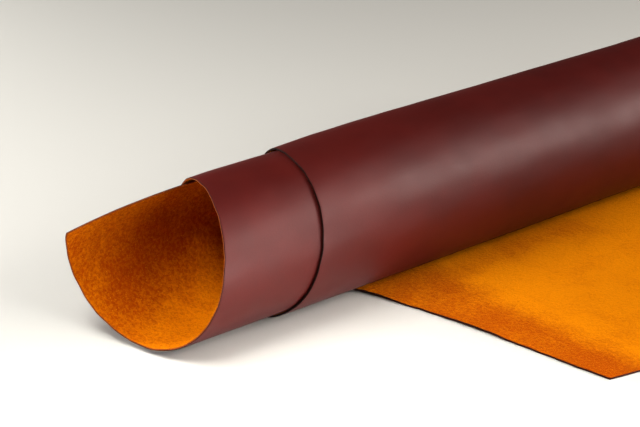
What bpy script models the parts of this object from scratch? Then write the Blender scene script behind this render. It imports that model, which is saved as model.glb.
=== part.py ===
"""A piece of burgundy leather, loosely rolled with its grain side out, its last length open on the table.

It is one sheet, cut flat and then wound round a lying axis. Places on the flat sheet are given by two
distances: `s` along its length, counted from the corner of the inner end, and `x` across it, along the
roll's axis. The roll lies along X, and its open length runs towards -Y. Metres, +Z up.
"""

import math

import bmesh
import bpy
import numpy as np

# --- The sheet as it was cut ---
THICKNESS = 0.0015
WIDTH = 0.52  # from one side edge to the other, along the roll
OPEN_LENGTH = 0.250  # from the line where the roll meets the table to the front corner
INNER_SKEW = 0.229  # the inner end is cut askew: length lost for each metre of width
FRONT_SKEW = 0.209  # and the front end: length gained for each metre of width
TIP = 0.004  # both skew cuts stop this far short of a sharp point

# The side edge is cut at a slant and by eye, so the turns of the roll stand out one past the other.
SIDE_EDGE = (  # (s, x)
    (0.000, 0.0000),
    (0.080, 0.0185),
    (0.160, 0.0378),
    (0.240, 0.0588),
    (0.310, 0.0860),
    (0.370, 0.1092),
    (0.460, 0.1237),
    (0.560, 0.1405),
    (0.640, 0.1571),
    (0.700, 0.1710),
    (0.760, 0.1950),
    (0.840, 0.2050),
    (0.905, 0.2165),
    (0.930, 0.2306),
    (0.945, 0.2374),
    (0.975, 0.2460),
    (1.163, 0.2780),
)

# --- The roll ---
CORE_RADIUS = 0.0592  # middle of the sheet at its inner end
PITCH = 0.00296  # added to the radius by each turn
SAG = 0.0008  # each turn also hangs this far down inside the next one
START_ANGLE = math.radians(20.5)  # of the inner end's corner, above the level on the far side
TAIL_ANGLE = math.radians(130)  # more than the inner end's skew cut reaches back past that corner
WHOLE_TURNS = 2.25  # from the level on the far side down to the table
OVAL = 0.038  # the roll is a little wider than high
OVAL_LEAN = math.radians(4)
EGG = 0.012  # and a little fuller on one side
EGG_LEAN = math.radians(24)

# --- How uneven it lies ---
RIPPLE = 0.0005  # of the roll's top and sides
RIPPLE_WAVES = (  # (waves round the roll, length of one wave along it, share)
    (2, 0.37, 1.0),
    (3, -0.23, 0.6),
)
LIP = 0.0012  # each turn leans in this much at its side edge, over the top of the roll
LIP_WIDTH = 0.050
SWELLS = (  # where the open length's side edge stands off the table: (from, to, lean, height)
    (0.00, 0.29, 0.75, 0.0014),
    (0.32, 0.68, 1.00, 0.0011),
)
SWELL_WIDTH = 0.070  # from that edge to where the sheet lies flat

# --- Faces ---
STEPS_PER_TURN = 48
OPEN_STEP = 0.0125
TIP_STEP = 0.019
STRIPS = 8
SECTION_STEPS = 4000  # of the curve that the roll's section is measured on

GRAIN_COLOUR = (0.105, 0.012, 0.015, 1)
FLESH_COLOUR = (0.640, 0.200, 0.010, 1)
EDGE_COLOUR = (0.045, 0.012, 0.006, 1)


def spiral():
    """The roll's section: distance, angle, y and z of the sheet's middle, from inside down to the table.

    The radius grows with the angle wound, and an oval and an egg shape are laid over it. The section is
    lifted until its last turn stands on the table, and it ends at that lowest line.
    """
    past_table = START_ANGLE + (WHOLE_TURNS + 0.1) * math.tau
    wound = np.linspace(-TAIL_ANGLE, past_table, SECTION_STEPS + 1)
    angle = START_ANGLE - wound
    shape = 1 + OVAL * np.cos(2 * angle - OVAL_LEAN) + EGG * np.cos(3 * angle - EGG_LEAN)
    radius = (CORE_RADIUS + PITCH * wound / math.tau) * shape
    y = radius * np.cos(angle)
    z = radius * np.sin(angle) + SAG * wound / math.tau
    lowest = int(z.argmin())
    distance = np.concatenate(([0], np.cumsum(np.hypot(np.diff(y), np.diff(z)))))
    distance -= np.interp(0, wound, distance)
    z += THICKNESS / 2 - z[lowest]
    end = lowest + 1
    return distance[:end], angle[:end], y[:end], z[:end]


DISTANCE, ANGLE, SECTION_Y, SECTION_Z = spiral()
TABLE_S = float(DISTANCE[-1])  # where the roll meets the table
FRONT_S = TABLE_S + OPEN_LENGTH  # the front corner
EDGE_S, EDGE_X = np.array(SIDE_EDGE).T
EDGE_SLOPE = np.gradient(EDGE_X, EDGE_S)


def side_edge(s):
    """x of the slanted side edge: a smooth curve through SIDE_EDGE, straight beyond its ends."""
    if s <= EDGE_S[0]:
        return EDGE_X[0] + EDGE_SLOPE[0] * (s - EDGE_S[0])
    if s >= EDGE_S[-1]:
        return EDGE_X[-1] + EDGE_SLOPE[-1] * (s - EDGE_S[-1])
    i = int(np.searchsorted(EDGE_S, s)) - 1
    step = EDGE_S[i + 1] - EDGE_S[i]
    rise = EDGE_X[i + 1] - EDGE_X[i]
    t = (s - EDGE_S[i]) / step
    bend = (1 - t) * (EDGE_SLOPE[i] * step - rise) - t * (EDGE_SLOPE[i + 1] * step - rise)
    return EDGE_X[i] + t * rise + t * (1 - t) * bend


def left_edge(s):
    """x of the left outline: the inner end's skew cut, the side edge, then the front end's skew cut."""
    if s < 0:
        return -s / INNER_SKEW
    if s > FRONT_S:
        return side_edge(FRONT_S) + (s - FRONT_S) / FRONT_SKEW
    return side_edge(s)


def right_edge(s):
    """x of the right outline, cut parallel to the side edge."""
    return side_edge(s) + WIDTH


def reach(skew, slope):
    """How far a skew cut runs along the sheet before it meets the right edge, which has this slope."""
    return skew * (WIDTH - TIP) / (1 - skew * slope)


def columns():
    """The distances s at which the sheet is divided, closer in the roll than in the open length."""
    turn_step = math.tau * CORE_RADIUS / STEPS_PER_TURN
    spans = (  # (from, to, step)
        (-reach(INNER_SKEW, -EDGE_SLOPE[0]), 0, turn_step),
        (0, TABLE_S, turn_step),
        (TABLE_S, FRONT_S, OPEN_STEP),
        (FRONT_S, FRONT_S + reach(FRONT_SKEW, EDGE_SLOPE[-1]), TIP_STEP),
    )
    found = []
    for start, end, step in spans:
        found.extend(np.linspace(start, end, math.ceil((end - start) / step), endpoint=False))
    return found + [spans[-1][1]]


def unevenness(angle, s, x):
    """How far the roll stands out of true: a ripple, the same for every turn, and the lip at the side edge.

    Both fade out towards the table, where the roll's weight presses it true.
    """
    ripple = 0
    for waves, length, share in RIPPLE_WAVES:
        ripple += share * math.sin(waves * angle + math.tau * x / length)
    inwards = min(max((x - side_edge(s)) / LIP_WIDTH, 0), 1)
    return (RIPPLE * ripple - LIP * (1 - inwards) ** 2) * (1 + math.sin(angle)) / 2


def lift(s, x):
    """Height of the open length's side edge above the table: low swells that fade across the sheet."""
    height = 0
    for start, end, lean, most in SWELLS:
        along = min(max(((s - TABLE_S) / OPEN_LENGTH - start) / (end - start), 0), 1)
        height += most * math.sin(math.pi * along**lean) ** 2
    inwards = min(max((x - side_edge(s)) / SWELL_WIDTH, 0), 1)
    return height * (1 - inwards) ** 2


def laid(s, x):
    """Where the point (s, x) of the flat sheet lies once it is rolled."""
    if s > TABLE_S:
        return x, SECTION_Y[-1] - (s - TABLE_S), THICKNESS / 2 + lift(s, x)
    angle = np.interp(s, DISTANCE, ANGLE)
    out = unevenness(angle, s, x)
    y = np.interp(s, DISTANCE, SECTION_Y) + out * math.cos(angle)
    z = np.interp(s, DISTANCE, SECTION_Z) + out * math.sin(angle)
    return x, y, z


def sheet_mesh():
    """A grid with a column for each distance s, each vertex moved to where the leather lies."""
    lengths = columns()
    last = len(lengths) - 1
    grid = bmesh.new()
    bmesh.ops.create_grid(grid, x_segments=last, y_segments=STRIPS, size=0.5)
    for vert in grid.verts:
        s = lengths[round((vert.co.x + 0.5) * last)]
        across = vert.co.y + 0.5
        x = left_edge(s) + across * (right_edge(s) - left_edge(s))
        vert.co = laid(s, x)
    bmesh.ops.reverse_faces(grid, faces=grid.faces)
    mesh = bpy.data.meshes.new("hide")
    grid.to_mesh(mesh)
    grid.free()
    mesh.shade_smooth()
    return mesh


def leather(name, colour, roughness):
    material = bpy.data.materials.new(name)
    material.use_nodes = True
    finish = material.node_tree.nodes["Principled BSDF"]
    finish.inputs["Base Color"].default_value = colour
    finish.inputs["Roughness"].default_value = roughness
    finish.inputs["Metallic"].default_value = 0
    return material


def centred(hide):
    """Moves the hide until the middle of its footprint, thickness included, stands at the origin."""
    bpy.context.view_layer.update()
    solid = hide.evaluated_get(bpy.context.evaluated_depsgraph_get())
    corners = np.array(solid.bound_box)
    middle = (corners.min(axis=0) + corners.max(axis=0)) / 2
    hide.location = (-middle[0], -middle[1], 0)


def build():
    collection = bpy.data.collections.new("leather_hide")
    bpy.context.scene.collection.children.link(collection)
    hide = bpy.data.objects.new("hide", sheet_mesh())
    collection.objects.link(hide)
    hide.data.materials.append(leather("grain_side", GRAIN_COLOUR, 0.42))
    hide.data.materials.append(leather("flesh_side", FLESH_COLOUR, 0.95))
    hide.data.materials.append(leather("cut_edge", EDGE_COLOUR, 0.80))
    body = hide.modifiers.new("thickness", "SOLIDIFY")
    body.thickness = THICKNESS
    body.offset = 0
    body.material_offset = 1
    body.material_offset_rim = 2
    centred(hide)


for thing in list(bpy.data.objects):
    bpy.data.objects.remove(thing)
build()
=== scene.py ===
"""A rolled piece of burgundy leather with an orange suede back, its last length lying open on a pale table.

The leather is one sheet. Places on the flat sheet are given by two distances: `s` along its length, from
the corner of its inner end, and `x` across it, along the axis of the roll. Metres, +Z up.
"""

import math

import bpy
import numpy as np
from mathutils import Euler, Matrix, Vector


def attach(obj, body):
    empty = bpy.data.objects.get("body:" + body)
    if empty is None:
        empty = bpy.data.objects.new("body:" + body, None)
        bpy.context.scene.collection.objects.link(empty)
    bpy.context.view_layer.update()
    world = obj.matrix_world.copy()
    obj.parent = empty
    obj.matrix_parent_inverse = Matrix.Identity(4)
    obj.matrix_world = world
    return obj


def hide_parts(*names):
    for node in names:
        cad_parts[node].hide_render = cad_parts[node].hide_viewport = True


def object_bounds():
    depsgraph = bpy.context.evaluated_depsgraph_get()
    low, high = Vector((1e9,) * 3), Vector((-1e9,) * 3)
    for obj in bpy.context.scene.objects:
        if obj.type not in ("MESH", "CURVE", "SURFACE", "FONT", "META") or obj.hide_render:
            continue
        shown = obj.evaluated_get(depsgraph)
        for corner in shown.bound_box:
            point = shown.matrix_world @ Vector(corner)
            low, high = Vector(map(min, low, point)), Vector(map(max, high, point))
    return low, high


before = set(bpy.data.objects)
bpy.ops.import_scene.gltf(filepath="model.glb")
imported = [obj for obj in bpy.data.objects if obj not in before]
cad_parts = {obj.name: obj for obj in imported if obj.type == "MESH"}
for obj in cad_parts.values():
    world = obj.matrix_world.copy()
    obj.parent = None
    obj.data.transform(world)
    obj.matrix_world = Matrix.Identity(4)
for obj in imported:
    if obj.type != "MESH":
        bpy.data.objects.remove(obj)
cad_low, cad_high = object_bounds()


# ---------------------------------------------------------------------------------------------------
# The hide as it was cut: a panel of 1.5 mm leather, taken from a side with a knife and by eye, so its
# outline wanders a little and its ends are askew. The right edge is cut parallel to the left one.
# ---------------------------------------------------------------------------------------------------

THICKNESS = 0.0015
WIDTH = 0.52  # from one side edge to the other
OPEN_LENGTH = 0.250  # from the line where the roll meets the table to the front corner
INNER_SKEW = 0.229  # the inner end is cut askew: length lost for each metre of width
FRONT_SKEW = 0.209  # and the front end: length gained for each metre of width
TIP = 0.004  # both skew cuts stop this far short of a sharp point
SIDE_EDGE = (  # (s, x)
    (0.000, 0.0000),
    (0.080, 0.0185),
    (0.160, 0.0378),
    (0.240, 0.0588),
    (0.310, 0.0860),
    (0.370, 0.1092),
    (0.460, 0.1237),
    (0.560, 0.1405),
    (0.640, 0.1571),
    (0.700, 0.1710),
    (0.760, 0.1950),
    (0.840, 0.2050),
    (0.905, 0.2165),
    (0.930, 0.2306),
    (0.945, 0.2374),
    (0.975, 0.2460),
    (1.163, 0.2780),
)
KNIFE_WANDER = 0.00015
KNIFE_WAVES = (0.0171, 0.0313, 0.0528)  # lengths along the cut
KNIFE_PHASE = 9  # radians at the start of the shortest wave, and of the others in proportion to length

EDGE_S, EDGE_X = np.array(SIDE_EDGE).T
EDGE_SLOPE = np.gradient(EDGE_X, EDGE_S)


def side_edge(s):
    """x of the slanted side edge: a smooth cubic through SIDE_EDGE, and a straight line beyond its ends."""
    i = np.clip(np.searchsorted(EDGE_S, s) - 1, 0, len(EDGE_S) - 2)
    step = EDGE_S[i + 1] - EDGE_S[i]
    rise = EDGE_X[i + 1] - EDGE_X[i]
    t = (s - EDGE_S[i]) / step
    bend = (1 - t) * (EDGE_SLOPE[i] * step - rise) - t * (EDGE_SLOPE[i + 1] * step - rise)
    curve = EDGE_X[i] + t * rise + t * (1 - t) * bend
    before = EDGE_X[0] + EDGE_SLOPE[0] * (s - EDGE_S[0])
    beyond = EDGE_X[-1] + EDGE_SLOPE[-1] * (s - EDGE_S[-1])
    return np.where(s < EDGE_S[0], before, np.where(s > EDGE_S[-1], beyond, curve))


def knife_wander(along):
    """How far the knife strayed from its line: the sum of a few sine waves of unlike lengths."""
    waves = (np.sin(math.tau * along / wave + KNIFE_PHASE * wave / KNIFE_WAVES[0]) for wave in KNIFE_WAVES)
    return KNIFE_WANDER * sum(waves)


# ---------------------------------------------------------------------------------------------------
# How it lies: loosely rolled a little over 2.3 turns round a lying axis with the grain side out, then
# left open on the table towards the front. The roll sags to a slight oval and its turns hang inside
# each other. The open length's side edge stands off the table in two low swells.
# ---------------------------------------------------------------------------------------------------

CORE_RADIUS = 0.0592  # middle of the sheet at its inner end
PITCH = 0.00296  # added to the radius by each turn
SAG = 0.0008  # each turn also hangs this far down inside the next one
START_ANGLE = math.radians(20.5)  # of the inner end's corner, above the level on the far side
TAIL_ANGLE = math.radians(130)  # more than the inner end's skew cut reaches back past that corner
WHOLE_TURNS = 2.25  # from the level on the far side down to the table
PAST_TABLE = 0.1  # turns worked out past the table, so that the lowest point is found between two others
SECTION_POINTS = 4001
OVAL = 0.038  # the roll is a little wider than high
OVAL_LEAN = math.radians(4)
EGG = 0.012  # and a little fuller on one side
EGG_LEAN = math.radians(24)
RIPPLE = 0.0005
RIPPLE_WAVES = (  # (waves round the roll, length of one wave along it, share)
    (2, 0.37, 1.0),
    (3, -0.23, 0.6),
)
LIP = 0.0012  # each turn leans in this much at its side edge, over the top of the roll
LIP_WIDTH = 0.050
SWELLS = (  # where the open length's side edge stands off the table: (from, to, lean, height)
    (0.00, 0.29, 0.75, 0.0014),
    (0.32, 0.68, 1.00, 0.0011),
)
SWELL_WIDTH = 0.070
SLOPE_REACH = 0.0004  # on each side of a point, for the slopes there


def roll_section():
    """Distance, angle, y and z of the sheet's middle, from inside the roll down to the table.

    The radius grows with the angle wound, and an oval and an egg shape are laid over it. The section is
    lifted until its last turn stands on the table, and it ends at that lowest line.
    """
    wound = np.linspace(-TAIL_ANGLE, START_ANGLE + (WHOLE_TURNS + PAST_TABLE) * math.tau, SECTION_POINTS)
    angle = START_ANGLE - wound
    shape = 1 + OVAL * np.cos(2 * angle - OVAL_LEAN) + EGG * np.cos(3 * angle - EGG_LEAN)
    radius = (CORE_RADIUS + PITCH * wound / math.tau) * shape
    y = radius * np.cos(angle)
    z = radius * np.sin(angle) + SAG * wound / math.tau
    lowest = int(z.argmin())
    distance = np.concatenate(([0], np.cumsum(np.hypot(np.diff(y), np.diff(z)))))
    distance -= np.interp(0, wound, distance)
    z += THICKNESS / 2 - z[lowest]
    end = lowest + 1
    return distance[:end], angle[:end], y[:end], z[:end]


DISTANCE, ANGLE, SECTION_Y, SECTION_Z = roll_section()
TABLE_S = float(DISTANCE[-1])  # where the roll meets the table
FRONT_S = TABLE_S + OPEN_LENGTH  # the front corner


def laid(s, x):
    """Middle of the sheet at (s, x), as points. On the roll a ripple and the lip of the side edge are added
    outwards along the angle, fading towards the table. Past the table line the sheet runs level, and each
    swell lifts its side edge by a squared sine, which leans towards the roll and fades across the sheet."""
    on_roll = np.minimum(s, TABLE_S)
    angle = np.interp(on_roll, DISTANCE, ANGLE)
    ripple = sum(share * np.sin(n * angle + math.tau * x / wave) for n, wave, share in RIPPLE_WAVES)
    lip = LIP * (1 - np.clip((x - side_edge(s)) / LIP_WIDTH, 0, 1)) ** 2
    out = (RIPPLE * ripple - lip) * (1 + np.sin(angle)) / 2
    y = np.interp(on_roll, DISTANCE, SECTION_Y) + out * np.cos(angle)
    z = np.interp(on_roll, DISTANCE, SECTION_Z) + out * np.sin(angle)
    open_s = np.maximum(s - TABLE_S, 0)
    lift = 0
    for start, end, lean, height in SWELLS:
        along = np.clip((open_s / OPEN_LENGTH - start) / (end - start), 0, 1)
        lift = lift + height * np.sin(math.pi * along ** lean) ** 2
    inwards = np.clip((x - side_edge(s)) / SWELL_WIDTH, 0, 1)
    return np.stack((x, y - open_s, z + lift * (1 - inwards) ** 2), axis=-1)


def outwards(s, x):
    """Unit vector square to the sheet, out of its grain side, from the slopes of laid() along s and x."""
    along_s = laid(s + SLOPE_REACH, x) - laid(s - SLOPE_REACH, x)
    along_x = laid(s, x + SLOPE_REACH) - laid(s, x - SLOPE_REACH)
    square = np.cross(along_x, along_s)
    return square / np.linalg.norm(square, axis=-1, keepdims=True)


# ---------------------------------------------------------------------------------------------------
# The leather's mesh: one closed skin. Each column is a ring round the sheet at one distance s, across
# the grain side, round the right cut edge, back across the flesh side and round the left cut edge.
# ---------------------------------------------------------------------------------------------------

COLUMN_STEP = 0.0025
ROWS = 72
ROW_CROWDING = 1.35  # above 1, the rows lie closer together towards the left side edge
EDGE_ROUND = 0.00030  # the knife leaves a square edge, and handling rounds its corners
EDGE_SQUARENESS = 0.6  # 1 is a half round edge, and less is squarer
EDGE_ANGLES = np.radians((60, 30, 0, -30, -60))
DIMPLE = 0.00005  # faint hollows where the leather was handled, over its whole face
DIMPLE_WAVES = (  # (waves for each metre along s, and along x)
    (31, 11),
    (-19, 23),
    (43, -7),
)
GRAIN, FLESH, CUT = 0, 1, 2  # the places of the three finishes in the mesh's list


def stations():
    """The distances s of the columns, with one on each corner of the outline and on the table line."""
    inner_end = -INNER_SKEW * (WIDTH - TIP) / (1 + INNER_SKEW * EDGE_SLOPE[0])
    front_end = FRONT_S + FRONT_SKEW * (WIDTH - TIP) / (1 - FRONT_SKEW * EDGE_SLOPE[-1])
    marks = (inner_end, 0, TABLE_S, FRONT_S, front_end)
    spans = [
        np.linspace(start, end, math.ceil((end - start) / COLUMN_STEP), endpoint=False)
        for start, end in zip(marks, marks[1:])
    ]
    return np.concatenate(spans + [[front_end]])


def outline(s):
    """x of the left and the right edge, with the knife's wander, and how much each slants across s."""
    inner = (-s + knife_wander(-s / INNER_SKEW)) / INNER_SKEW
    front = side_edge(FRONT_S) + (s - FRONT_S + knife_wander(s / FRONT_SKEW)) / FRONT_SKEW
    side = side_edge(s) + knife_wander(s)
    left = np.where(s < 0, np.maximum(inner, side), np.where(s > FRONT_S, np.maximum(front, side), side))
    right = side_edge(s) + WIDTH - knife_wander(s + WIDTH)
    slants = [np.hypot(1, np.gradient(edge, s)) for edge in (left, right)]
    return left, right, *slants


def ring():
    """One ring of the skin: how far across each point is, its height in the thickness, from 1 on the grain
    side to -1 on the flesh side, how far it draws in from the cut, and which finish follows it."""
    across = np.linspace(0, 1, ROWS + 1) ** ROW_CROWDING
    flat = np.ones(ROWS + 1)
    rim = np.sin(EDGE_ANGLES)
    drawn = 1 - np.cos(EDGE_ANGLES) ** EDGE_SQUARENESS
    place = np.concatenate((across, np.ones(len(rim)), across[::-1], np.zeros(len(rim))))
    height = np.concatenate((flat, rim, -flat, rim[::-1]))
    inset = np.concatenate((flat, drawn, flat, drawn[::-1]))
    finish = np.repeat((GRAIN, CUT, FLESH, CUT), (ROWS, len(rim) + 1, ROWS, len(rim) + 1))
    return place, height, inset, finish


def leather_mesh(name):
    """The skin as a mesh.

    A point is laid() plus, along outwards(), its height times half the thickness and the dimple there.
    Rings of neighbouring columns are joined by four-sided faces, and the two end rings are closed. The UV
    map "cut" is the place (s, x) on the flat sheet in metres, and the attribute "layer" is the height in
    the thickness.
    """
    s = stations()
    place, height, inset, finish = ring()
    left, right, left_slant, right_slant = outline(s)
    # Near the sharp tips an edge draws in by at most a quarter of the width that is left.
    room = (right - left) / 4
    draw_left = np.minimum(EDGE_ROUND * left_slant, room)
    draw_right = np.minimum(EDGE_ROUND * right_slant, room)
    on_left = (place < 0.5)[None, :]
    draw = np.where(on_left, draw_left[:, None], -draw_right[:, None]) * inset[None, :]
    width = (right - draw_right - left - draw_left)[:, None]
    faces_x = (left + draw_left)[:, None] + place[None, :] * width
    rims_x = np.where(on_left, left[:, None], right[:, None]) + draw
    # The points of both faces have the inset 1, and those round a cut edge have less.
    x = np.where((inset == 1)[None, :], faces_x, rims_x)
    s = np.broadcast_to(s[:, None], x.shape)
    dimple = sum(np.sin(math.tau * (along * s + over * x)) for along, over in DIMPLE_WAVES)
    raised_by = height[None, :] * THICKNESS / 2 + DIMPLE * dimple
    points = laid(s, x) + raised_by[..., None] * outwards(s, x)

    columns, rounds = x.shape
    corner = np.arange(columns * rounds).reshape(columns, rounds)
    following = np.roll(corner, -1, axis=1)
    quads = np.stack((corner[:-1], following[:-1], following[1:], corner[1:]), axis=-1).reshape(-1, 4)
    ends = [corner[0, ::-1].tolist(), corner[-1].tolist()]
    mesh = bpy.data.meshes.new(name)
    mesh.from_pydata(points.reshape(-1, 3), [], quads.tolist() + ends)
    finishes = np.concatenate((np.tile(finish, columns - 1), (CUT, CUT)))
    mesh.polygons.foreach_set("material_index", finishes.astype(np.int32))
    mesh.polygons.foreach_set("use_smooth", np.ones(len(finishes), bool))

    loops = np.empty(len(mesh.loops), np.int32)
    mesh.loops.foreach_get("vertex_index", loops)
    cut = np.stack((s, x), axis=-1).reshape(-1, 2)
    mesh.uv_layers.new(name="cut").uv.foreach_set("vector", cut[loops].ravel())
    layers = np.broadcast_to(height[None, :], x.shape).astype(np.float32)
    mesh.attributes.new("layer", "FLOAT", "POINT").data.foreach_set("value", layers.ravel())
    return mesh


hide_mesh = leather_mesh("leather_hide")
places = np.empty(len(hide_mesh.vertices) * 3, np.float32)
hide_mesh.vertices.foreach_get("co", places)
places = places.reshape(-1, 3)
# The sheet is worked out from its inner end's corner and the roll's axis, above the table. The frame
# starts in the middle of the part's footprint.
FRAME_SHIFT = np.array((cad_low.x - places[:, 0].min(), cad_high.y - places[:, 1].max(), 0))
hide_mesh.vertices.foreach_set("co", (places + FRAME_SHIFT).astype(np.float32).ravel())
hide = bpy.data.objects.new("leather_hide", hide_mesh)
bpy.context.scene.collection.objects.link(hide)


# ---------------------------------------------------------------------------------------------------
# The grain side: dyed burgundy leather with a light satin finish. Its grain is fine and even, its
# colour is nearly plain, and it shines softly in a wide band where the roll turns towards the light.
# ---------------------------------------------------------------------------------------------------

BURGUNDY = (0.090, 0.0064, 0.0040, 1)
BURGUNDY_DEEP = (0.067, 0.0046, 0.0030, 1)
GRAIN_CELLS = 1150.0  # how many for each metre of the sheet, as with every noise in this script
GRAIN_PORES = 2100.0
GRAIN_FINE = 700.0
GRAIN_DEPTH = 0.000065
CELL_HEIGHT = 0.8  # shares of that depth
PORE_HEIGHT = 0.35
DYE_CLOUDS = 16.0
DYE_RANGE = (0.3, 0.7)  # of the noise, from the deep to the full colour
CLOUD_SHARE = 0.7  # of the change in colour, and the fine grain has the rest
POLISH_CLOUDS = 38.0
POLISHED = 0.42  # the roughness where the finish is best
POLISH_LOSS = 0.10  # added in clouds
FINE_POLISH_LOSS = 0.08  # and in the fine grain

MIX_INPUTS = (0, 6, 7)  # a Mix node's share and its two colours, by number because their names repeat
MIX_RESULT = 2


def new_node(tree, kind, inputs=(), **settings):
    """A shader node of this kind with its settings. Sockets given as inputs are linked, and values set."""
    made = tree.nodes.new(kind)
    for key, value in settings.items():
        setattr(made, key, value)
    for key, value in dict(inputs).items():
        if isinstance(value, bpy.types.NodeSocket):
            tree.links.new(value, made.inputs[key])
        else:
            made.inputs[key].default_value = value
    return made


def new_material(name):
    """A material, its node tree, its shader, and the place on the flat sheet as a vector in metres."""
    material = bpy.data.materials.new(name)
    material.use_nodes = True
    tree = material.node_tree
    place = new_node(tree, "ShaderNodeUVMap", uv_map="cut").outputs["UV"]
    return material, tree, tree.nodes["Principled BSDF"], place


def noise(tree, place, scale, detail=2.0, rough=0.5, distortion=0.0):
    """Noise from 0 to 1 with this many cells for each metre of the sheet."""
    inputs = {
        "Vector": place,
        "Scale": scale,
        "Detail": detail,
        "Roughness": rough,
        "Distortion": distortion,
    }
    return new_node(tree, "ShaderNodeTexNoise", inputs).outputs["Fac"]


def spread(tree, value, low, high, to_low=0.0, to_high=1.0):
    """The value carried smoothly from the range low to high onto the range to_low to to_high."""
    inputs = {"Value": value, "From Min": low, "From Max": high, "To Min": to_low, "To Max": to_high}
    return new_node(tree, "ShaderNodeMapRange", inputs, interpolation_type="SMOOTHSTEP").outputs["Result"]


def mixed(tree, share, first, second):
    """The first colour, giving way to the second by a share from 0 to 1."""
    inputs = dict(zip(MIX_INPUTS, (share, first, second)))
    return new_node(tree, "ShaderNodeMix", inputs, data_type="RGBA").outputs[MIX_RESULT]


def sum_of(tree, *parts):
    """The sum of the values times their weights, given as (value, weight) pairs."""
    total = 0.0
    for value, weight in parts:
        inputs = {0: value, 1: weight, 2: total}
        total = new_node(tree, "ShaderNodeMath", inputs, operation="MULTIPLY_ADD").outputs[0]
    return total


def raised(tree, shader, height, depth):
    """Bumps the shader's surface by a height, of which 1 stands for this depth in metres."""
    bump = new_node(tree, "ShaderNodeBump", {"Height": height, "Distance": depth})
    tree.links.new(bump.outputs["Normal"], shader.inputs["Normal"])


def grain_side():
    """Burgundy, a little deeper in clouds and in the fine grain, under a slightly uneven finish.

    The tone is the weighted sum of the clouds and the fine grain. The roughness is that of the best finish
    plus its losses. The height is the weighted sum of the grain's cells and its pores.
    """
    material, tree, shader, place = new_material("burgundy_grain")
    fine = noise(tree, place, GRAIN_FINE, detail=3.0, rough=0.6)
    cloud = noise(tree, place, DYE_CLOUDS, detail=4.0, rough=0.55)
    cloud_tone = (spread(tree, cloud, *DYE_RANGE), CLOUD_SHARE)
    fine_tone = (spread(tree, fine, *DYE_RANGE), 1 - CLOUD_SHARE)
    tone = sum_of(tree, cloud_tone, fine_tone)
    tree.links.new(mixed(tree, tone, BURGUNDY_DEEP, BURGUNDY), shader.inputs["Base Color"])
    dull = noise(tree, place, POLISH_CLOUDS, detail=3.0)
    polish = sum_of(tree, (dull, POLISH_LOSS), (fine, FINE_POLISH_LOSS), (POLISHED, 1.0))
    tree.links.new(polish, shader.inputs["Roughness"])
    inputs = {"Vector": place, "Scale": GRAIN_CELLS}
    cells = new_node(tree, "ShaderNodeTexVoronoi", inputs, feature="SMOOTH_F1").outputs["Distance"]
    pores = noise(tree, place, GRAIN_PORES)
    raised(tree, shader, sum_of(tree, (cells, CELL_HEIGHT), (pores, PORE_HEIGHT)), GRAIN_DEPTH)
    shader.inputs["Specular IOR Level"].default_value = 0.36
    return material


# ---------------------------------------------------------------------------------------------------
# The flesh side: orange suede with a short soft nap. Brushed one way it is bright and yellowish, and
# the other way deep and red, and it is speckled with lighter fibres and darker pits. Its tone also holds
# painted shade beside the roll and in the roll's mouth, and painted light at the mouth's foot and tip.
# ---------------------------------------------------------------------------------------------------

SUEDE_BRIGHT = (0.700, 0.240, 0.0008, 1)
SUEDE_DEEP = (0.360, 0.058, 0.0005, 1)
SUEDE_SPECK = (0.700, 0.350, 0.0200, 1)
SUEDE_PIT = (0.170, 0.022, 0.0004, 1)
SUEDE_SHEEN = (1.0, 0.40, 0.01, 1)
# the tone holds painted light and shade as well as the nap's own tone
TONE_RANGE = (-0.35, 1.0)  # of the nap, from SUEDE_DEEP to SUEDE_BRIGHT
LEVEL_TONE = 0.12  # where nothing has brushed the nap
PATCHES = 24.0
PATCH_RANGE = (0.32, 0.68)  # of the noise, from the deepest patches to the brightest
PATCH_TONE = 0.36  # the difference between those two
TUFTS = 330.0
TUFT_RANGE = (0.34, 0.66)
TUFT_TONE = 0.60
TUFT_HEIGHT = 0.5  # a share of NAP_DEPTH, where the fibres have all of it
FIBRES = 640.0
PIT_RANGE = (0.50, 0.34)  # of the fibres' noise, from no pit to the deepest
PIT_SHARE = 0.50  # of the colour there
SPECKS = 780.0
SPECK_RANGE = (0.61, 0.74)
NAP_DEPTH = 0.0006
TURN_OVER = 0.03  # before the table line, where the inside's nap gives way to the open length's
CREASE_X = 0.331  # a faint line round the hide, from the fold in which it was kept
CREASE_REACH = 0.006
CREASE_CURVES = 26.0
CREASE_WANDER = 0.010
BRUSHED_RANGE = (CREASE_X - 0.045, CREASE_X + 0.004)  # across x, where the nap starts to be brushed up
RUFFLED = 0.85  # how strongly the tufts, pits and specks show
RUFFLED_LESS = 0.45  # and how much of that is lost where the nap was brushed up


def times(tree, first, second):
    """The product of two values."""
    return new_node(tree, "ShaderNodeMath", {0: first, 1: second}, operation="MULTIPLY").outputs[0]


def band(tree, value, middle, reach):
    """1 where the value is at the middle, falling smoothly to 0 at this reach on both sides."""
    away = new_node(tree, "ShaderNodeMath", {0: value, 1: middle}, operation="SUBTRACT").outputs[0]
    away = new_node(tree, "ShaderNodeMath", {0: away}, operation="ABSOLUTE").outputs[0]
    return spread(tree, away, reach, 0.0)


# Some fields paint light and shade: the band beside the roll is painted shade, and in the roll's mouth the
# foot and tip are painted light and the far side and the part below it are painted shade.
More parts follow.
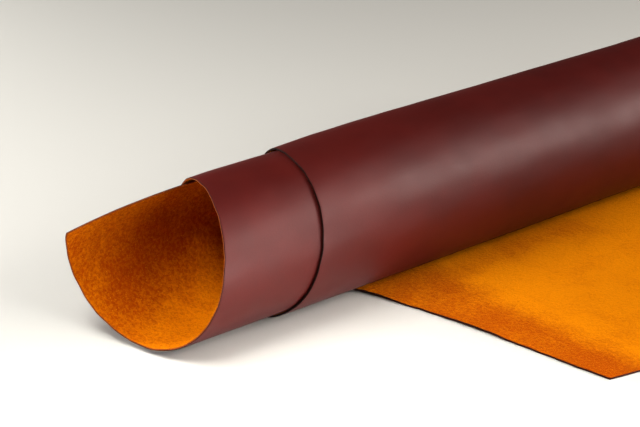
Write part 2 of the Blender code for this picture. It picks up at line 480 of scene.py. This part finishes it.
NAP_LIGHT_AND_SHADE_FIELDS = (  # (area, its change along s, its change across x, added tone)
    ("open", None, None, -0.10),  # the open length as a whole
    ("brushed", None, None, 0.80),  # its part from the crease on
    ("crease", None, None, 0.15),  # the crease itself
    # painted shade: a deeper band of tone beside the roll, where its shade falls on the open length
    ("brushed", (band, TABLE_S + 0.042, 0.034), (spread, 0.56, 0.44), -0.40),  # a band beside the roll
    ("open", (spread, FRONT_S - 0.13, FRONT_S), (spread, 0.38, 0.29), -0.34),  # the front corner
    # painted light and shade: the inside is brighter from its foot on, where light falls into the mouth,
    # and stays deep towards the inner end, in the roll's shade
    ("inside", (spread, 0.045, 0.125), (spread, 0.01, 0.08, 0.45), 0.68),  # the inside from its foot on
    # painted light: a brighter tip at the mouth's rim, where light falls on it
    ("inside", (spread, 0.08, 0.03), (spread, 0.06, 0.02), 0.10),  # its tip, at the inner end's corner
    ("inside", None, (spread, 0.07, 0.14), 0.20),  # deeper in the roll
    # painted shade: a deeper patch on the far side inside the roll's mouth
    ("inside", (band, 0.036, 0.066), (band, 0.110, 0.058), -0.25),  # its far side
    # painted shade: a deeper patch below that, nearer the side edge, inside the mouth
    ("inside", (band, 0.080, 0.048), (band, 0.058, 0.032), -0.26),  # below that and nearer the side edge
)


def nap_light_and_shade_tone(tree, place):
    """Which way the nap lies, with the painted light and shade laid on it, over TONE_RANGE, how ruffled it
    is, and its tufts.

    The tone is a sum of the level tone, the patches, the tufts where the nap is ruffled, and the fields
    listed above. Each field is the product of its area and its changes along s and across x, times the
    added tone. Some fields paint shade beside the roll and in the roll's mouth, and light at the mouth's
    foot and tip.
    """
    s, x, _ = new_node(tree, "ShaderNodeSeparateXYZ", {"Vector": place}).outputs
    patches = noise(tree, place, PATCHES, detail=4.0, rough=0.62, distortion=0.6)
    patches = spread(tree, patches, *PATCH_RANGE, -0.5, 0.5)
    tufts = noise(tree, place, TUFTS, detail=4.0, rough=0.62, distortion=0.5)
    tufts = spread(tree, tufts, *TUFT_RANGE, -0.5, 0.5)
    curves = noise(tree, place, CREASE_CURVES)
    wavy_x = sum_of(tree, (x, 1.0), (curves, CREASE_WANDER), (-CREASE_WANDER / 2, 1.0))
    opened = spread(tree, s, TABLE_S - TURN_OVER, TABLE_S)
    areas = {
        "inside": spread(tree, s, TABLE_S, TABLE_S - TURN_OVER),
        "open": opened,
        "crease": times(tree, band(tree, wavy_x, CREASE_X, CREASE_REACH), opened),
        "brushed": times(tree, spread(tree, wavy_x, *BRUSHED_RANGE), opened),
    }
    ruffled = sum_of(tree, (1.0, RUFFLED), (areas["brushed"], -RUFFLED_LESS))
    parts = [(LEVEL_TONE, 1.0), (patches, PATCH_TONE), (times(tree, tufts, ruffled), TUFT_TONE)]
    for where, along, across, added in NAP_LIGHT_AND_SHADE_FIELDS:
        field = areas[where]
        for value, change in ((s, along), (x, across)):
            if change:
                kind, *limits = change
                field = times(tree, field, kind(tree, value, *limits))
        parts.append((field, added))
    return sum_of(tree, *parts), ruffled, tufts


def flesh_side():
    """Suede coloured by the tone of its nap and the painted light and shade on it, with dark pits between
    the fibres and light ends on them.
    """
    material, tree, shader, place = new_material("orange_suede")
    tone, ruffled, tufts = nap_light_and_shade_tone(tree, place)
    fibres = noise(tree, place, FIBRES, detail=4.0, rough=0.68, distortion=1.5)
    colour = mixed(tree, spread(tree, tone, *TONE_RANGE), SUEDE_DEEP, SUEDE_BRIGHT)
    pits = times(tree, spread(tree, fibres, *PIT_RANGE), ruffled)
    colour = mixed(tree, times(tree, pits, PIT_SHARE), colour, SUEDE_PIT)
    specks = spread(tree, noise(tree, place, SPECKS, detail=3.0), *SPECK_RANGE)
    colour = mixed(tree, times(tree, specks, ruffled), colour, SUEDE_SPECK)
    tree.links.new(colour, shader.inputs["Base Color"])
    raised(tree, shader, sum_of(tree, (fibres, 1.0), (tufts, TUFT_HEIGHT)), NAP_DEPTH)
    shader.inputs["Roughness"].default_value = 0.95
    shader.inputs["Specular IOR Level"].default_value = 0.03
    shader.inputs["Sheen Weight"].default_value = 0.52
    shader.inputs["Sheen Roughness"].default_value = 0.40
    shader.inputs["Sheen Tint"].default_value = SUEDE_SHEEN
    return material


# ---------------------------------------------------------------------------------------------------
# The cut edge: raw leather with the fibres of the cut showing along it, dark where the grain side's dye
# soaked in. At the inner end, where the knife went last, most of it is tan. On the roll it is painted
# nearly black all through, as painted shade in the gap between the turns, and on the open length it is
# brown.
# ---------------------------------------------------------------------------------------------------

EDGE_TAN = (0.340, 0.095, 0.016, 1)
EDGE_TAN_DEEP = (0.180, 0.042, 0.008, 1)
# the dye's colour in the edge, also used on the roll as painted shade in the gap between the turns
EDGE_DYE_AND_GAP_SHADE = (0.036, 0.010, 0.006, 1)
EDGE_DYE_AND_GAP_SHADE_DEEP = (0.009, 0.0025, 0.0018, 1)
EDGE_BROWN = (0.080, 0.021, 0.014, 1)
EDGE_BROWN_DEEP = (0.032, 0.008, 0.006, 1)
EDGE_FIBRES = 900.0
EDGE_FIBRE_RANGE = (0.30, 0.75)  # of the noise, from the deep to the full colour
EDGE_DEPTH = 0.0002
SOAKED_RANGE = (0.0, 0.7)  # in the thickness, from its middle towards the grain side
# along s, where the whole edge is painted nearly black as shade in the gap between the turns
GAP_SHADE_RANGE = (0.43, 0.52)  # along s
BROWN_RANGE = (TABLE_S, TABLE_S + 0.05)  # along s


def cut_edge():
    """Three pairs of fibre colours in turn along s: tan, dark from the grain side where the dye soaked in;
    nearly black on the roll, as painted shade in the gap between the turns; and brown on the open length.
    """
    material, tree, shader, place = new_material("raw_edge")
    s = new_node(tree, "ShaderNodeSeparateXYZ", {"Vector": place}).outputs["X"]
    layer = new_node(tree, "ShaderNodeAttribute", attribute_name="layer").outputs["Fac"]
    fibres = spread(tree, noise(tree, place, EDGE_FIBRES, detail=4.0, rough=0.7), *EDGE_FIBRE_RANGE)
    tan = mixed(tree, fibres, EDGE_TAN_DEEP, EDGE_TAN)
    dye_and_gap_shade = mixed(tree, fibres, EDGE_DYE_AND_GAP_SHADE_DEEP, EDGE_DYE_AND_GAP_SHADE)
    brown = mixed(tree, fibres, EDGE_BROWN_DEEP, EDGE_BROWN)
    tan = mixed(tree, spread(tree, layer, *SOAKED_RANGE), tan, dye_and_gap_shade)
    # on the roll the whole edge takes the dark colour, as painted shade in the gap between the turns
    colour = mixed(tree, spread(tree, s, *GAP_SHADE_RANGE), tan, dye_and_gap_shade)
    colour = mixed(tree, spread(tree, s, *BROWN_RANGE), colour, brown)
    tree.links.new(colour, shader.inputs["Base Color"])
    raised(tree, shader, fibres, EDGE_DEPTH)
    shader.inputs["Roughness"].default_value = 0.9
    shader.inputs["Specular IOR Level"].default_value = 0.15
    return material


# ---------------------------------------------------------------------------------------------------
# The hide put together: the skin gets its three finishes and stands for the plain solid. It is one cut
# sheet that lies by its own weight, and its columns and outline are worked out once more.
# ---------------------------------------------------------------------------------------------------

for finish in (grain_side(), flesh_side(), cut_edge()):
    hide_mesh.materials.append(finish)

columns_s = stations()
left_x, right_x, *_ = outline(columns_s)

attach(hide, "root")
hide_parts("hide")


# ---------------------------------------------------------------------------------------------------
# The table: a plain, pale and matt board under the leather. It isn't part of the object. It runs on
# past the picture on all sides, and lies a hair under the leather, so that no two faces share a plane.
# ---------------------------------------------------------------------------------------------------

TABLE_SIZE = 10.0
TABLE_TOP = -0.0002
TABLE_COLOUR = (0.60, 0.592, 0.560, 1)

half = TABLE_SIZE / 2
corners = [(x, y, TABLE_TOP) for x, y in ((-half, -half), (half, -half), (half, half), (-half, half))]
table_mesh = bpy.data.meshes.new("table")
table_mesh.from_pydata(corners, [], [(0, 1, 2, 3)])
table = bpy.data.objects.new("table", table_mesh)
bpy.context.scene.collection.objects.link(table)
board = bpy.data.materials.new("pale_board")
board.use_nodes = True
board.node_tree.nodes["Principled BSDF"].inputs["Base Color"].default_value = TABLE_COLOUR
board.node_tree.nodes["Principled BSDF"].inputs["Roughness"].default_value = 0.7
table_mesh.materials.append(board)


# ---------------------------------------------------------------------------------------------------
# Studio light: soft boxes in a dim room, behind on the left, above, in front, and in front on the right.
# Three small ones have a grid that keeps their light on the near end of the roll.
# ---------------------------------------------------------------------------------------------------

ROLL_MIDDLE = (-0.05, 0.05, 0.05)
NEAR_END = (-0.32, -0.06, 0.02)
MOUTH = (-0.42, -0.04, 0.00)
NEUTRAL = (1.0, 0.99, 0.97)
SOFT = (1.0, 0.98, 0.96)
WARM = (1.0, 0.95, 0.90)
BARE = 180  # the spread of a box without a grid
BOXES = (  # (name, place, aimed at, width, height, spread in degrees, watts, colour)
    ("behind_left", (-0.95, 1.20, 0.35), ROLL_MIDDLE, 0.8, 0.6, BARE, 25.0, NEUTRAL),
    ("behind", (-0.35, 1.20, 0.35), ROLL_MIDDLE, 0.6, 0.5, BARE, 1.3, NEUTRAL),
    ("above_mouth", (-0.60, 0.25, 0.80), ROLL_MIDDLE, 0.4, 0.4, BARE, 4.5, NEUTRAL),
    ("mouth_grid", (-0.75, -0.10, 0.70), MOUTH, 0.3, 0.3, 45, 0.62, NEUTRAL),
    ("front_grid", (-0.35, -0.55, 0.45), NEAR_END, 0.3, 0.3, 50, 0.16, SOFT),
    ("front_low_grid", (-0.15, -0.45, 0.10), NEAR_END, 0.35, 0.12, 46, 0.38, SOFT),
    ("front", (-0.20, -0.85, 0.70), ROLL_MIDDLE, 0.4, 0.4, BARE, 3.4, SOFT),
    ("right_high", (1.20, -0.90, 1.10), ROLL_MIDDLE, 0.8, 0.5, BARE, 18.4, WARM),
    ("right_far", (1.50, -1.10, 0.80), ROLL_MIDDLE, 0.8, 0.5, BARE, 19.0, WARM),
    ("above", (0.60, -0.45, 1.25), ROLL_MIDDLE, 1.2, 0.5, BARE, 5.6, SOFT),
)
ROOM_COLOUR = (1.0, 0.98, 0.95, 1)
ROOM_STRENGTH = 0.03
CONTRAST = 1.2

for name, place, target, width, height, spread_angle, watts, colour in BOXES:
    lamp = bpy.data.lights.new(name, "AREA")
    lamp.shape = "RECTANGLE"
    lamp.size = width
    lamp.size_y = height
    lamp.spread = math.radians(spread_angle)
    lamp.energy = watts
    lamp.color = colour
    holder = bpy.data.objects.new(name, lamp)
    holder.location = place
    holder.rotation_euler = (Vector(target) - Vector(place)).to_track_quat("-Z", "Y").to_euler()
    holder.visible_camera = False
    bpy.context.scene.collection.objects.link(holder)

room = bpy.data.worlds.new("room")
room.use_nodes = True
room.node_tree.nodes["Background"].inputs["Color"].default_value = ROOM_COLOUR
room.node_tree.nodes["Background"].inputs["Strength"].default_value = ROOM_STRENGTH
bpy.context.scene.world = room
bpy.context.scene.view_settings.view_transform = "Standard"
bpy.context.scene.view_settings.gamma = 1 / CONTRAST


# ---------------------------------------------------------------------------------------------------
# The camera: a long lens in front of the roll's near end and above it, which looks slantwise along the
# roll and down at it. It is turned a little clockwise.
# ---------------------------------------------------------------------------------------------------

CAMERA_PLACE = (-1.0314, -1.2458, 0.8256)  # from the inner end's corner, the roll's axis and the table
CAMERA_HEADING = math.radians(45.0846)  # from +X towards +Y
CAMERA_DIP = math.radians(23.3490)  # below the level
CAMERA_ROLL = math.radians(-3.3552)
LENS = 135.236  # millimetres, as is the sensor's width
SENSOR_WIDTH = 36.0
FARTHEST = 50.0

camera_data = bpy.data.cameras.new("camera")
camera_data.sensor_width = SENSOR_WIDTH
camera_data.lens = LENS
camera_data.clip_end = FARTHEST
camera = bpy.data.objects.new("camera", camera_data)
level = Euler((math.pi / 2 - CAMERA_DIP, 0, CAMERA_HEADING - math.pi / 2)).to_matrix()
turn = (level @ Matrix.Rotation(-CAMERA_ROLL, 3, "Z")).to_4x4()
camera.matrix_world = Matrix.Translation(Vector(CAMERA_PLACE) + Vector(FRAME_SHIFT)) @ turn
bpy.context.scene.collection.objects.link(camera)
bpy.context.scene.camera = camera
